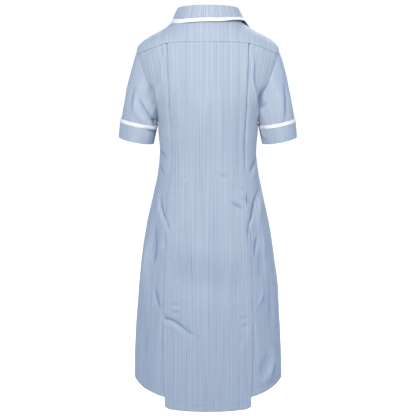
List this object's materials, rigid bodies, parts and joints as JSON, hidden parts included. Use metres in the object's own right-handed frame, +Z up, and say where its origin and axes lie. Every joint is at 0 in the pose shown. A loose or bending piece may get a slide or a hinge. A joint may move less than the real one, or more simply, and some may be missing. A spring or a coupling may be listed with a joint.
{
  "type": "nurse uniform dress",
  "caption": "Short-sleeved nurse uniform dress in fine blue stripe with white edging, worn and hollow, with yoke, back pleats and back vents.",
  "frame": {"origin": "middle of the neck opening, level with the points where the shoulders meet the neck", "axes": "+Z up, the wearer faces -Y, the wearer's left is +X"},
  "size_m": [0.4848, 0.328, 1.0715],
  "materials": {
    "blue_stripe_cloth": "matt woven stripe",
    "white_edging": "matt woven",
    "white_button": "smooth"
  },
  "bodies": {
    "root": {"back_yoke": "blue_stripe_cloth", "back_centre": "blue_stripe_cloth", "back_side_left": "blue_stripe_cloth", "back_side_right": "blue_stripe_cloth", "back_pleat_left": "blue_stripe_cloth", "back_pleat_right": "blue_stripe_cloth", "front_left": "blue_stripe_cloth", "front_right": "blue_stripe_cloth", "sleeve_left": "blue_stripe_cloth", "sleeve_right": "blue_stripe_cloth", "cuff_left": "blue_stripe_cloth", "cuff_right": "blue_stripe_cloth", "cuff_trim_left": "white_edging", "cuff_trim_right": "white_edging", "collar": "blue_stripe_cloth", "collar_trim": "white_edging", "button_1": "white_button", "button_2": "white_button", "button_3": "white_button", "button_4": "white_button", "button_5": "white_button", "button_6": "white_button", "button_7": "white_button", "button_8": "white_button"}
  },
  "joints": []
}
